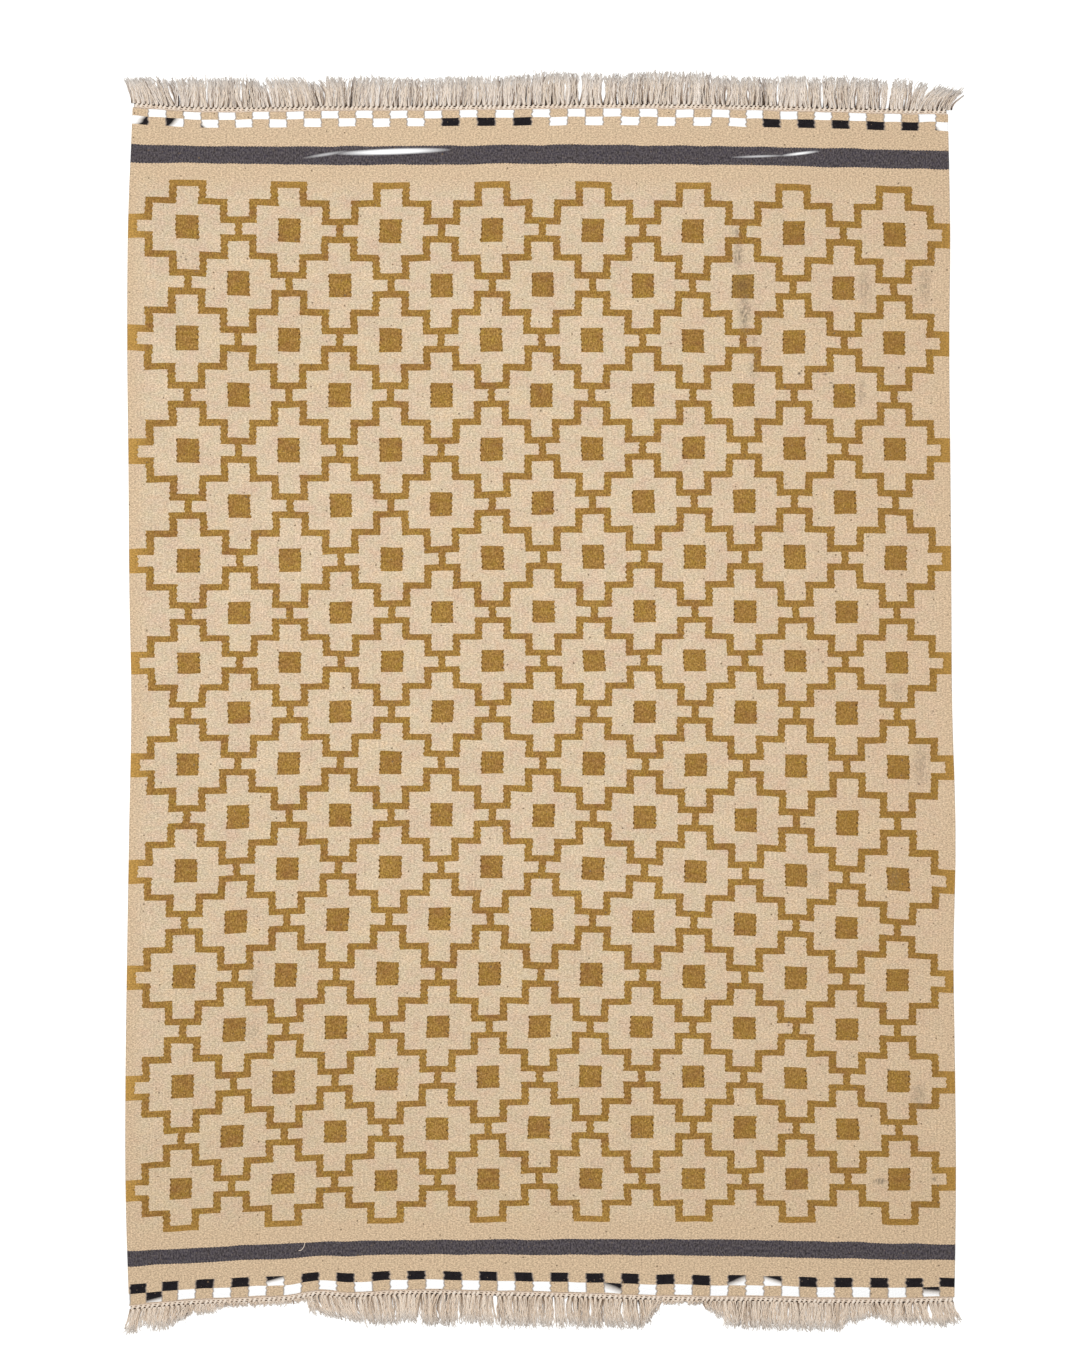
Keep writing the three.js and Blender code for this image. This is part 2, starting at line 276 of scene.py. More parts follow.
# Flat-woven wool, weft-faced, on undyed warps: matt, with upright ribs, a comb of teeth where colours meet
# side by side, heathered yarn dyed a little unevenly, specks of dark fibre, grey-brown smudges of wear and
# pale scuffs on the far bar.
wool = {
    "yarns": {  # each with the random fields that tint it: field, share and tint
        "beige": {"colour": "#e1c8aa", "tints": [
            ("lot", 0.5, "#dabf97"), ("mottle", 0.75, "#d2b49b"), ("hue", 0.65, "#d0c1a2"),
            ("tint", 0.25, "#e4d2bc"), ("sunned", 0.35, "#d7b592"), ("tanned", 0.25, "#d5b78e"),
            ("margin", 0.8, "#d8bd9c")]},
        "ochre": {"colour": "#bc944f", "tints": [
            ("lot", 0.8, "#a2783a"), ("mottle", 0.9, "#966840"), ("hue", 0.6, "#ae8f3a"),
            ("tint", 0.5, "#c69c5a"), ("fibre", 0.8, "#835c28"), ("margin", 0.4, "#c2974e"),
            ("edge", 0.55, "#c99d54"), ("sunned", 0.35, "#9c7538")]},
        "bar": {"colour": "#383337", "tints": [
            ("mottle", 0.6, "#3d3636"), ("tint", 0.5, "#484350"), ("fibre", 0.9, "#686162")]},
        "dark": {"colour": "#1f1b1e", "tints": [("tint", 0.4, "#2b2729")]},
        "lastWeft": {"colour": "#dfcbb6", "tints": [("tint", 0.5, "#d6bba8")]},
    },
    "fields": {  # random fields: mm across and along to one feature, octaves, least and most
        "ragged": (70, 4.5, 0, -0.6, 0.6),  # mm, tooth by tooth
        "wander": (220, 70, 1, -1.2, 1.2),  # mm, on upright lines
        "bow": (60, 80, 1, -0.9, 0.9),  # mm, on level lines
        "lot": (320, 150, 2, 0, 1),  # from one dyeing to the next
        "mottle": (60, 36, 2, 0, 1),
        "hue": (24, 16, 1, 0, 1),
        "tint": (8, 6, 0, 0, 1),
        "heather": (4.0, 2.2, 1, 0.81, 1.18),  # thick and thin places in one weft
        "grain": (2.2, 2.0, 0, 0.86, 1.14),
        "fibre": (2.4, 4.5, 1, 0, 1),
        "worn": (3.5, 9.0, 2, 0.1, 1.1),  # breaks up the smudges
        "slitDepth": (40, 16, 1, 0.4, 1.4),
    },
    "fieldOffset": (17.3, 5.9),  # features from one field to the next, so that no two agree
    "toothLength": 9.1,  # mm along, of the comb where colours meet side by side
    "toothDepth": 1.5,
    "ribTooth": 1.1,  # mm, on the level edges of the bars
    "slit": 0.25,  # chart squares to each side of a colour change that lie in shadow, tooth by tooth
    "slitShade": ("#3d2811", 0.65),
    "outlineSlit": 0.45,  # share of that shadow on the outline, where slits are shorter
    "hollow": (0.0, 0.4),  # shares of a tooth's depth between which it falls into that shadow
    "white": "#ffffff",
    "seam": (0.045, "#8b8078", 0.6),  # shadow between check cells: share of a cell, colour and strength
    "marginAcross": (3.86, 4.02),  # pitches, and repeats from the middle, over which the plain margin begins
    "marginAlong": (4.8, 5.0),
    "sunnedAcross": (1.0, 4.0),  # pitches, over which the right side grows tanner
    "tannedAlong": (-300.0, -1000.0),  # mm, over which the near end does
    "ribShade": (0.872, 0.926),  # light in the grooves between ribs, and on their crests
    "bump": (0.5, 2.0),  # strength, and height in mm
    "specks": [(28.0, 1.7, "#73604c", 0.8), (10.0, 0.9, "#85725f", 0.6)],  # mm apart, radius, colour, share
    "speckLeast": 0.45,  # draws under this leave no speck
    "stainCore": 0.2,  # share of a stain's reach that is at full strength
    "smudge": ("#7b6e5e", 1.0),
    "smudges": [  # place across and along in mm, half width, half height and strength
        (339, 722, 11, 30, 0.8), (350, 622, 14, 40, 0.85), (337, 763, 9, 10, 0.7), (557, 666, 15, 46, 0.45),
        (364, 530, 12, 34, 0.3), (660, 673, 14, 40, 0.5), (550, 486, 10, 28, 0.55), (366, 576, 10, 10, 0.5),
        (607, -26, 14, 30, 0.3), (647, -153, 18, 48, 0.5), (469, -337, 14, 26, 0.3), (601, -343, 14, 26, 0.3),
        (639, -710, 18, 32, 0.5), (573, -854, 16, 7, 0.9), (665, -850, 8, 7, 0.6), (-487, -513, 18, 28, 0.3),
        (-489, -602, 18, 18, 0.35),
    ],
    "mark": ("#54463a", 1.0),
    "marks": [
        (443, 519, 3.6, 3.6, 0.9), (497, 503, 4.6, 2.4, 0.7), (502, 497, 2.4, 4.6, 0.7),
        (481, 24, 2.8, 2.8, 0.7), (487, 518, 5.5, 2.0, 0.7), (370, 440, 5.5, 2.0, 0.7),
        (346, 671, 24, 28, 0.35), (668, -60, 2.2, 2.2, 0.7), (-615, 727, 2.2, 2.2, 0.9),
        (-610, 717, 3.0, 1.8, 0.9), (-618, 721, 2.2, 1.8, 0.8), (-623, 714, 2.0, 2.0, 0.7),
        (-594, 718, 1.8, 1.8, 0.7), (-591, 703, 2.0, 1.8, 0.8),
    ],
    "scuff": ("#ffffff", 1.4),
    "scuffs": [  # pale rubbed lines on the far bar, with their turn in degrees last
        (-255, 903.7, 102, 6.0, 1.0, 2.0), (-370, 899.0, 42, 3.4, 0.3, 9.0),
        (375, 895.6, 52, 2.6, 0.36, 2.0), (446, 900.6, 36, 3.2, 0.7, 7.0),
    ],
}


# Masks of the diamonds: chart squares are counted from the nearest diamond of each of two lattices, and the
# outline is what no diamond's steps cover. Slits are narrow bands along upright sides of steps and middles.
def diamondMasks(add, u, v):
    squaresAcross, squaresAlong = tapestry["squaresAcross"], tapestry["squaresAlong"]
    side = add("Math", [add("Math", [u], operation="ABSOLUTE"), tapestry["halfColumns"]],
               operation="MINIMUM")
    evenAcross = add("Math", [add("Math", [side, 0.5], operation="PINGPONG"), 2 * squaresAcross],
                     operation="MULTIPLY")
    oddAcross = add("Math", [squaresAcross, evenAcross], operation="SUBTRACT")
    oddAlong = add("Math", [add("Math", [v, 0.5], operation="PINGPONG"), 2 * squaresAlong],
                   operation="MULTIPLY")
    evenAlong = add("Math", [squaresAlong, oddAlong], operation="SUBTRACT")
    middle = tapestry["rows"] / 2
    fromMiddle = add("Math", [add("Math", [v, middle], operation="SUBTRACT")], operation="ABSOLUTE")
    beyond = add("Math", [fromMiddle, middle], operation="GREATER_THAN")
    within = add("Math", [fromMiddle, middle + tapestry["outlineEnd"]], operation="LESS_THAN")
    inner = add("Math", [add("Math", [side, tapestry["sideMiddles"]], operation="LESS_THAN"), beyond],
                operation="SUBTRACT")
    widths, heights = zip(*tapestry["steps"])
    floors = heights[1:] + (0.0,)  # each step's side starts at the next one
    lastWidth = add("Math", [beyond, widths[-1]])  # wider past the last rows
    lattices = [(oddAcross, oddAlong, widths, 1.0),
                (evenAcross, evenAlong, widths[:-1] + (lastWidth,), inner)]
    fill, solid, slit = 0.0, 0.0, 0.0
    for across, along, limits, allowed in lattices:
        for limit, high, low in zip(limits, heights, floors):
            box = add("Math", [add("Math", [across, limit], operation="LESS_THAN"),
                               add("Math", [along, high], operation="LESS_THAN")], operation="MULTIPLY")
            fill = add("Math", [fill, box], operation="MAXIMUM")
            upright = add("Math", [across, limit, wool["slit"]], operation="COMPARE")
            upright = add("Math", [upright, wool["outlineSlit"]], operation="MULTIPLY")
            level = add("Math", [along, (high + low) / 2, (high - low) / 2], operation="COMPARE")
            slit = add("Math", [upright, level, slit], operation="MULTIPLY_ADD")
        wide, tall = tapestry["middle"]
        level = add("Math", [along, tall], operation="LESS_THAN")
        box = add("Math", [add("Math", [across, wide], operation="LESS_THAN"), level], operation="MULTIPLY")
        solid = add("Math", [box, allowed, solid], operation="MULTIPLY_ADD")
        upright = add("Math", [add("Math", [across, wide, wool["slit"]], operation="COMPARE"), level],
                      operation="MULTIPLY")
        slit = add("Math", [upright, allowed, slit], operation="MULTIPLY_ADD")
    outline = add("Math", [1.0, fill], operation="SUBTRACT")
    ochre = add("Math", [add("Math", [outline, solid], operation="MAXIMUM"), within], operation="MULTIPLY")
    slit = add("Math", [slit, within], operation="MULTIPLY", use_clamp=True)
    return ochre, slit, fromMiddle


# Masks of the stripes at the ends: each bar and check row is a band of the along coordinate, and a check
# row's cells alternate; a cell's colour is its run's, and in a mixed cell changes past a slanted line.
def stripeMasks(add, u, v, vRib):
    bands = []
    checkBands = [(row["from"], row["to"]) for row in tapestry["checks"]]
    for place, (low, high) in [(vRib, bar) for bar in tapestry["bars"]] + [(v, row) for row in checkBands]:
        counts = sorted(repeatsAt(np.array([low, high])))
        bands.append(add("Math", [place, float(sum(counts) / 2), float((counts[1] - counts[0]) / 2)],
                         operation="COMPARE"))
    bars, rows = bands[:len(tapestry["bars"])], bands[len(tapestry["bars"]):]
    bar = add("Math", bars)
    checked, dark, seam = 0.0, 0.0, 0.0
    for number, (row, rowBand) in enumerate(zip(tapestry["checks"], rows)):
        left, middle, right = row["slip"]
        slip = add("Math", [add("MapRange", [u, *tapestry["slipAcross"][:2], left, middle]),
                            add("MapRange", [u, *tapestry["slipAcross"][2:], 0, right - middle])])
        cellPlace = add("Math", [u, tapestry["cells"] * tapestry["pitch"] / rug["width"],
                                 add("Math", [slip, tapestry["cells"] / 2])], operation="MULTIPLY_ADD")
        cell = add("Math", [cellPlace], operation="FLOOR")
        inCell = add("Math", [cellPlace], operation="FRACT")
        odd = add("Math", [cell, 2.0], operation="FLOORED_MODULO")
        nearSide = add("Math", [add("Math", [cellPlace, 0.5], operation="PINGPONG"), wool["seam"][0]],
                       operation="LESS_THAN")
        seam = add("Math", [nearSide, rowBand, seam], operation="MULTIPLY_ADD")
        coloured = add("Math", [rowBand, add("Math", [odd, row["first"], 0.5], operation="COMPARE")],
                       operation="MULTIPLY")
        checked = add("Math", [checked, coloured])
        for first, last in row["dark"]:
            run = add("Math", [cell, (first + last) / 2, (last - first) / 2 + 0.5], operation="COMPARE")
            dark = add("Math", [run, coloured, dark], operation="MULTIPLY_ADD")
        bottom, top = (float(repeatsAt(row[edge])) for edge in ("from", "to"))
        up = add("MapRange", [v, bottom, top, 0, 1])
        for mixed in (m for m in tapestry["mixedCells"] if m["row"] == number):
            rise = add("Math", [up, mixed["up"]], operation="MULTIPLY")
            slant = add("Math", [inCell, mixed["across"], rise], operation="MULTIPLY_ADD")
            blur = mixed["blur"]
            past = add("MapRange", [slant, mixed["past"] - blur, mixed["past"] + blur, 0, 1])
            here = add("Math", [cell, mixed["cell"], 0.5], operation="COMPARE")
            part = add("Math", [past, here], operation="MULTIPLY")
            dark = add("Math", [part, coloured, dark], operation="MULTIPLY_ADD")
    return bar, checked, dark, seam


def wovenWool():
    material, tree = newMaterial("flatWovenWool")
    add = partial(addNode, tree)
    weave = add("SeparateXYZ", [add("UVMap", uv_map="weave")]).node
    u, v = weave.outputs[0], weave.outputs[1]
    place = add("VectorMath", [add("TexCoord").node.outputs["Object"], (1 / mm, 1 / mm, 0), tuple(-shift)],
                operation="MULTIPLY_ADD")  # mm in plan from the rug's zero
    along = add("SeparateXYZ", [place]).node.outputs[1]

    fields = {}
    for number, (name, (wide, tall, octaves, least, most)) in enumerate(wool["fields"].items()):
        offset = tuple(number * step for step in wool["fieldOffset"]) + (0,)
        scaled = add("VectorMath", [place, (1 / wide, 1 / tall, 0), offset], operation="MULTIPLY_ADD")
        random = add("TexNoise", {"Vector": scaled, "Scale": 1.0, "Detail": octaves}, noise_dimensions="2D")
        fields[name] = add("MapRange", [random, *noiseRange, least, most])

    # Uneven edges: a comb of teeth on upright lines, ribs on the bars' level edges, lines that wander.
    ribPlace = add("Math", [u, cloth["ribs"] * tapestry["pitch"] / rug["width"], cloth["ribs"] / 2],
                   operation="MULTIPLY_ADD")
    crest = add("Math", [ribPlace, 0.5], operation="PINGPONG")
    toothLength, toothDepth = wool["toothLength"], wool["toothDepth"]
    tooth = add("Math", [along, toothLength / 2], operation="PINGPONG")
    tooth = add("MapRange", [tooth, 0, toothLength / 2, -toothDepth / 2, toothDepth / 2])
    valley = add("MapRange", [tooth, *(share * toothDepth for share in wool["hollow"]), 0, 1])
    aside = add("Math", [add("Math", [tooth, fields["ragged"]]), fields["wander"]])
    u = add("Math", [aside, 1 / tapestry["pitch"], u], operation="MULTIPLY_ADD")
    v = add("Math", [fields["bow"], 1 / tapestry["repeat"], v], operation="MULTIPLY_ADD")
    vRib = add("Math", [crest, 2 * wool["ribTooth"] / tapestry["repeat"], v], operation="MULTIPLY_ADD")

    ochre, slit, fromMiddle = diamondMasks(add, u, v)
    bar, checked, dark, seam = stripeMasks(add, u, v, vRib)
    fields["edge"] = add("MapRange", [add("Math", [u], operation="ABSOLUTE"), *wool["marginAcross"], 0, 1])
    endMargin = add("MapRange", [fromMiddle, *wool["marginAlong"], 0, 1])
    fields["margin"] = add("Math", [fields["edge"], endMargin], operation="MAXIMUM")
    fields["sunned"] = add("MapRange", [u, *wool["sunnedAcross"], 0, 1])
    fields["tanned"] = add("MapRange", [along, *wool["tannedAlong"], 0, 1])
    ends = repeatsAt(np.array([rug["near"] + tapestry["lastWeft"], rug["far"] - tapestry["lastWeft"]]))
    inside = add("Math", [v, float(ends.mean()), float(np.ptp(ends) / 2)], operation="COMPARE")
    lastWeft = add("Math", [1.0, inside], operation="SUBTRACT")

    colour = None
    masks = {"beige": None, "ochre": ochre, "bar": bar, "dark": dark, "lastWeft": lastWeft}
    for name, mask in masks.items():
        yarn = linear(wool["yarns"][name]["colour"])
        for field, share, tint in wool["yarns"][name]["tints"]:
            factor = add("Math", [fields[field], share], operation="MULTIPLY")
            yarn = add("Mix", {0: factor, 6: yarn, 7: linear(tint)}, data_type="RGBA")
        colour = yarn if mask is None else add("Mix", {0: mask, 6: colour, 7: yarn}, data_type="RGBA")

    ribs = add("MapRange", [crest, 0, 0.5, *wool["ribShade"]])
    for shade in (fields["heather"], fields["grain"], ribs):
        colour = add("Mix", {0: 1.0, 6: colour, 7: shade}, data_type="RGBA", blend_type="MULTIPLY")

    # Over the yarn: dark specks, white check cells, shadow in seams and slits, smudges, marks and scuffs.
    overlays = []
    for spacing, radius, tint, share in wool["specks"]:
        spots = add("TexVoronoi", {"Vector": place, "Scale": 1 / spacing}, voronoi_dimensions="2D").node
        draw = add("SeparateColor", [spots.outputs["Color"]])
        size = add("MapRange", [draw, wool["speckLeast"], 1.0, 0, radius / spacing])
        overlays.append((add("Math", [spots.outputs["Distance"], size], operation="LESS_THAN"), tint, share))
    white = add("Math", [checked, dark], operation="SUBTRACT", use_clamp=True)
    hollow = add("Math", [add("Math", [fields["slitDepth"], valley], operation="MULTIPLY"), ochre],
                 operation="MULTIPLY")
    overlays += [(white, wool["white"], 1.0), (seam, *wool["seam"][1:]),
                 (add("Math", [slit, hollow], operation="MULTIPLY"), *wool["slitShade"])]
    stains = [("smudge", "smudges", fields["worn"]), ("mark", "marks", 1.0), ("scuff", "scuffs", 1.0)]
    for kind, many, wear in stains:
        stain = 0.0
        for x, y, halfWide, halfTall, strength, *turn in wool[many]:
            turned = (0, 0, math.radians(sum(turn)))
            apart = add("Mapping", [place, (x, y, 0), turned, (halfWide, halfTall, 1)], vector_type="TEXTURE")
            apart = add("VectorMath", [apart], operation="LENGTH")
            spot = add("MapRange", [apart, wool["stainCore"], 1.0, strength, 0])
            stain = add("Math", [stain, spot], operation="MAXIMUM")
        overlays.append((add("Math", [stain, wear], operation="MULTIPLY"), *wool[kind]))
    for mask, tint, share in overlays:
        factor = add("Math", [mask, share], operation="MULTIPLY", use_clamp=True)
        colour = add("Mix", {0: factor, 6: colour, 7: linear(tint)}, data_type="RGBA")
    firm, height = wool["bump"]
    bump = add("Bump", {"Strength": firm, "Distance": height * mm, "Height": fields["heather"]})
    shader = add("BsdfPrincipled", {"Base Color": colour, "Roughness": 0.95, "IOR": 1.5, "Normal": bump,
                                    "Specular IOR Level": 0.1, "Sheen Weight": 0.05, "Sheen Roughness": 0.5})
    add("OutputMaterial", {"Surface": shader})
    return material


topHeights, bottomHeights = clothHeights(acrossPoints, alongPoints)
upper = np.stack([clothX, clothY, topHeights], -1).reshape(-1, 3)
lower = np.stack([clothX, clothY, bottomHeights], -1).reshape(-1, 3)
weaveGrid = np.broadcast_arrays(acrossPoints[:, None] / tapestry["pitch"], repeatsAt(alongPoints))
weaveUv = np.tile(np.stack(weaveGrid, -1).reshape(-1, 2), (2, 1))
clothFaces = sheetFaces(len(acrossPoints), len(alongPoints)).tolist()
clothPiece = addPiece("cloth_weave", np.concatenate([upper, lower]) + shift, clothFaces, weaveUv, "weave",
                      wovenWool(), "cloth")
print("cloth:", len(clothFaces), "faces")


# Tubes along many paths at once: each ring of a path is a circle square to it, whose first axis is level.
def tubes(paths, radii, sides):
    count, rings = radii.shape
    ahead = np.gradient(paths, axis=1)
    ahead /= np.linalg.norm(ahead, axis=2, keepdims=True)
    level = np.cross([0.0, 0.0, 1.0], ahead)
    level /= np.linalg.norm(level, axis=2, keepdims=True)
    up = np.cross(ahead, level)
    turn = np.arange(sides) / sides * 2 * np.pi
    ring = np.cos(turn)[:, None] * level[:, :, None] + np.sin(turn)[:, None] * up[:, :, None]
    points = paths[:, :, None] + radii[:, :, None, None] * ring
    index = np.arange(count * rings * sides).reshape(count, rings, sides)
    after = np.roll(index, -1, axis=2)
    walls = np.stack([index[:, :-1], after[:, :-1], after[:, 1:], index[:, 1:]], -1).reshape(-1, 4)
    caps = np.concatenate([index[:, 0, ::-1], index[:, -1]])
    return points.reshape(-1, 3), walls.tolist() + caps.tolist()


fringe = {
    "pitch": 8.2,  # mm between bunches of warp ends
    "gap": 0.3,  # cloth to edging, as in the frame
    "edging": 8.0,  # reaches are measured from this far out
    "rootOut": 6.9,  # where the yarns start
    "bend": 1.5,  # a bunch leaves the edging squarely, then leans over
    "bunchTone": 0.12,  # how far whole bunches differ in tone, lean, curl, place and width
    "bunchSway": 1.4,
    "bunchCurl": 2.2,
    "bunchRoot": 0.7,
    "bunchWidth": 0.2,
    "turns": (1.4, 3.6),  # waves along a yarn
    "tipLift": 0.6,  # share of its lift that a yarn keeps at its tip
    "rootRise": 0.8,  # mm more where it leaves the edging
    "layers": [  # lowest first, sizes in mm; tones run from dark to light
        # the under layer carries painted shade: dark, darkest at the root, filling the gaps beneath and
        # between bunches
        {"name": "under", "perBunch": 3, "radius": (1.3, 1.5), "tip": 0.8, "rings": 6, "sides": 4,
         "rootSpread": 3.9, "tipSpread": 4.6, "scatter": 1.0, "reach": 0.88, "cut": 2.0, "wave": 0.8,
         "lift": (0.1, 0.2), "tones": (0.0, 0.42, 0.06)},
        {"name": "yarns", "perBunch": 10, "radius": (0.6, 0.85), "tip": 0.75, "rings": 12, "sides": 4,
         "rootSpread": 1.9, "tipSpread": 3.9, "scatter": 2.4, "reach": 1.0, "cut": 2.6, "wave": 1.9,
         "lift": (0.6, 3.8), "tones": (0.84, 0.74, 0.2)},
        {"name": "strays", "perBunch": 2, "radius": (0.25, 0.4), "tip": 0.7, "rings": 8, "sides": 3,
         "rootSpread": 2.5, "tipSpread": 4.0, "scatter": 5.0, "reach": 1.04, "cut": 3.0, "wave": 1.8,
         "lift": (2.5, 4.2), "tones": (0.5, 0.5, 0.2)},
    ],
    "far": {"side": 1, "node": "fringe_top", "tone": 0.0, "stretch": 1.03, "locks": [
        # root from, root to, tip from, tip to, reach at the first tip and at the last
        (-706, -650, -716, -674, 40, 44), (-650, -614, -669, -620, 45, 45), (-614, -574, -615, -577, 48, 47),
        (-574, -505, -572, -511, 48, 48), (-505, -466, -505, -479, 49, 36), (-466, -393, -473, -410, 47, 45),
        (-393, -367, -404, -376, 40, 40), (-367, -336, -371, -340, 48, 46), (-336, -271, -329, -271, 47, 48),
        (-271, -171, -265, -173, 46, 45), (-171, -86, -167, -88, 46, 47), (-83, -16, -82, -16, 47, 49),
        (-14, 66, -13, 64, 53, 51), (66, 140, 68, 142, 50, 47), (140, 193, 149, 195, 50, 52),
        (193, 293, 199, 293, 53, 52), (293, 417, 296, 417, 46, 46), (417, 485, 422, 483, 51, 47),
        (485, 535, 488, 531, 50, 51), (535, 593, 538, 593, 50, 47), (599, 634, 606, 640, 48, 48),
        (636, 650, 652, 666, 42, 42), (650, 708, 678, 726, 38, 31),
    ]},
    "near": {"side": -1, "node": "fringe_bottom", "tone": 0.12, "stretch": 0.97, "locks": [
        (-693, -673, -703, -680, 40, 38), (-673, -654, -676, -657, 30, 30), (-654, -625, -653, -631, 37, 36),
        (-625, -583, -628, -588, 34, 14), (-583, -549, -584, -549, 15, 14), (-549, -394, -549, -394, 4, 4),
        (-394, -374, -386, -365, 26, 32), (-374, -344, -359, -331, 36, 37), (-344, -300, -325, -294, 38, 40),
        (-300, -243, -290, -241, 46, 48), (-243, -202, -239, -206, 44, 44), (-202, -143, -201, -145, 51, 51),
        (-143, -99, -143, -101, 43, 49), (-99, -81, -94, -78, 49, 49), (-72, 19, -67, 17, 50, 50),
        (24, 39, 27, 40, 49, 50), (45, 106, 50, 106, 47, 48), (106, 172, 108, 174, 47, 48),
        (172, 202, 176, 194, 41, 15), (202, 273, 202, 273, 3, 3), (273, 305, 281, 305, 11, 28),
        (305, 347, 312, 346, 40, 45), (347, 442, 349, 440, 46, 45), (442, 511, 444, 507, 45, 45),
        (511, 553, 511, 556, 36, 24), (553, 602, 561, 603, 22, 37), (602, 677, 607, 686, 31, 41),
        (677, 695, 690, 706, 39, 32),
    ]},
}


def endLine(side, across):  # the cloth's own edge at one end; side is 1 at the far end, -1 at the near one
    ends = np.array(rug["ends"], float)
    return curveThrough(ends[:, 0], ends[:, 2 if side > 0 else 1], across)


def bunches(locks):  # roots, tips and reaches of all bunches, shared out evenly along each of the locks
    rows = []
    for rootFrom, rootTo, tipFrom, tipTo, reachFrom, reachTo in locks:
        count = round((rootTo - rootFrom) / fringe["pitch"])
        share = (np.arange(count) + 0.5) / count
        rows.append(np.stack([rootFrom + (rootTo - rootFrom) * share, tipFrom + (tipTo - tipFrom) * share,
                              reachFrom + (reachTo - reachFrom) * share]))
    return np.concatenate(rows, axis=1)


# One layer of a fringe's yarns: out from the edging by the reach; sideways by a power of the way out for the
# bunch's lean, by one less the square of the way left for its fanning, by an arch for its curl and by a slow
# wave that grows outwards; and down from the edging's height to the layer's own. A yarn thins by the fourth
# power of the way out.
def layYarns(end, habits, layer):
    side = end["side"]
    root, tip, reach = (np.repeat(row, layer["perBunch"]) for row in bunches(end["locks"]))
    bunchTone, sway, curl, aside, wider = (np.repeat(row, layer["perBunch"]) for row in habits)
    count = len(root)
    order = np.tile(np.linspace(-1, 1, layer["perBunch"]), count // layer["perBunch"])
    out = np.linspace(0, 1, layer["rings"])[None, :]
    atRoot = layer["rootSpread"] * (1 + wider) * order
    spread = layer["tipSpread"] * order - atRoot + scatter.normal(0, layer["scatter"], count)
    turns = scatter.uniform(*fringe["turns"], (count, 1))
    start = scatter.uniform(0, 2 * np.pi, (count, 1))
    x = (root + aside + atRoot)[:, None] + (tip + sway - root - aside)[:, None] * out ** fringe["bend"]
    x = x + spread[:, None] * (1 - (1 - out) ** 2) + curl[:, None] * np.sin(np.pi * out)
    x = x + layer["wave"] * out * np.sin(2 * np.pi * turns * out + start)
    last = fringe["edging"] + reach * layer["reach"] * end["stretch"] + scatter.normal(0, layer["cut"], count)
    first = fringe["rootOut"]
    y = endLine(side, root)[:, None] + side * (fringe["gap"] + first + (last - first)[:, None] * out)
    radii = scatter.uniform(*layer["radius"], (count, 1)) * (1 - (1 - layer["tip"]) * out ** 4)
    kept = fringe["tipLift"] + (1 - fringe["tipLift"]) * (1 - out)
    z = radii + scatter.uniform(*layer["lift"], (count, 1)) * kept + fringe["rootRise"] * (1 - out) ** 3
    rootTone, tipTone, toneScatter = layer["tones"]
    tone = rootTone + (tipTone - rootTone) * np.sqrt(out)
    tone = tone + (end["tone"] + bunchTone + scatter.normal(0, toneScatter, count))[:, None]
    points, faces = tubes(np.stack([x, y, z], -1), radii, layer["sides"])
    uv = np.stack(np.broadcast_arrays(tone, out), -1)
    return points, faces, np.repeat(uv.reshape(-1, 2), layer["sides"], axis=0)


edging = {
    "from": 0.8,  # how far out a stroke starts and ends
    "to": 8.0,
    "slant": 4.6,
    "radius": 2.5,
    "thick": (0.85, 1.12),  # shares of that radius, from stroke to stroke, and the share at a stroke's ends
    "endThick": 0.75,
    "stray": 0.7,  # mm aside
    "tone": (0.8, 0.12),  # middle and scatter
    "rings": 7,
    "sides": 6,
    "base": 1.7,
    "arch": 1.2,
    "cords": [(1.0, 1.2, 2.1), (4.0, 1.0, 2.1)],  # under the strokes: out, radius and height
    "cordSwell": 0.15,
    "cordTone": 0.6,
    "gapShadeStrip": (0.6, 7.6, 1.3),  # a dark strip beneath the knots, painted shade between them: from, to and height
    "points": 360,  # from side to side, on cords and locking weft
    "inset": 2.5,  # mm from the selvedges
}


def endSpan(side):  # from where to where the edging runs at one end
    row = rug["selvedges"][-1 if side > 0 else 0]
    return row[1] + edging["inset"], row[2] - edging["inset"]


# Edging strokes: straight and slanted, all one way, from the cloth to the roots, arched up in the middle.
def layStrokes(side):
    left, right = endSpan(side)
    count = int((right - left) / fringe["pitch"])
    middle = left + (np.arange(count) + 0.5) * (right - left) / count
    middle = middle + scatter.normal(0, edging["stray"], count)
    share = np.linspace(0, 1, edging["rings"])[None, :]
    arch = np.sin(np.pi * share)
    x = middle[:, None] + side * edging["slant"] * (share - 0.5)
    out = edging["from"] + (edging["to"] - edging["from"]) * share
    y = endLine(side, middle)[:, None] + side * (fringe["gap"] + out)
    swelling = edging["endThick"] + (1 - edging["endThick"]) * arch
    radii = edging["radius"] * scatter.uniform(*edging["thick"], (count, 1)) * swelling
    z = edging["base"] + edging["arch"] * arch + 0 * x
    points, faces = tubes(np.stack([x, y, z], -1), radii, edging["sides"])
    tone = np.repeat(scatter.normal(*edging["tone"], count), edging["rings"] * edging["sides"])
    return points, faces, np.stack([tone, np.zeros(len(tone))], -1)


# Twining cords: tubes along the end of the cloth, each swelling a little once in every pitch.
def layCords(side):
    across = np.linspace(*endSpan(side), edging["points"])
    out, radius, height = (column[:, None] for column in np.array(edging["cords"]).T)
    y = endLine(side, across) + side * (fringe["gap"] + out)
    radii = radius + edging["cordSwell"] * np.sin(2 * np.pi * across / fringe["pitch"])
    points, faces = tubes(np.stack(np.broadcast_arrays(across, y, height), -1), radii, edging["sides"])
    return points, faces, np.full((len(points), 2), (edging["cordTone"], 0.0))
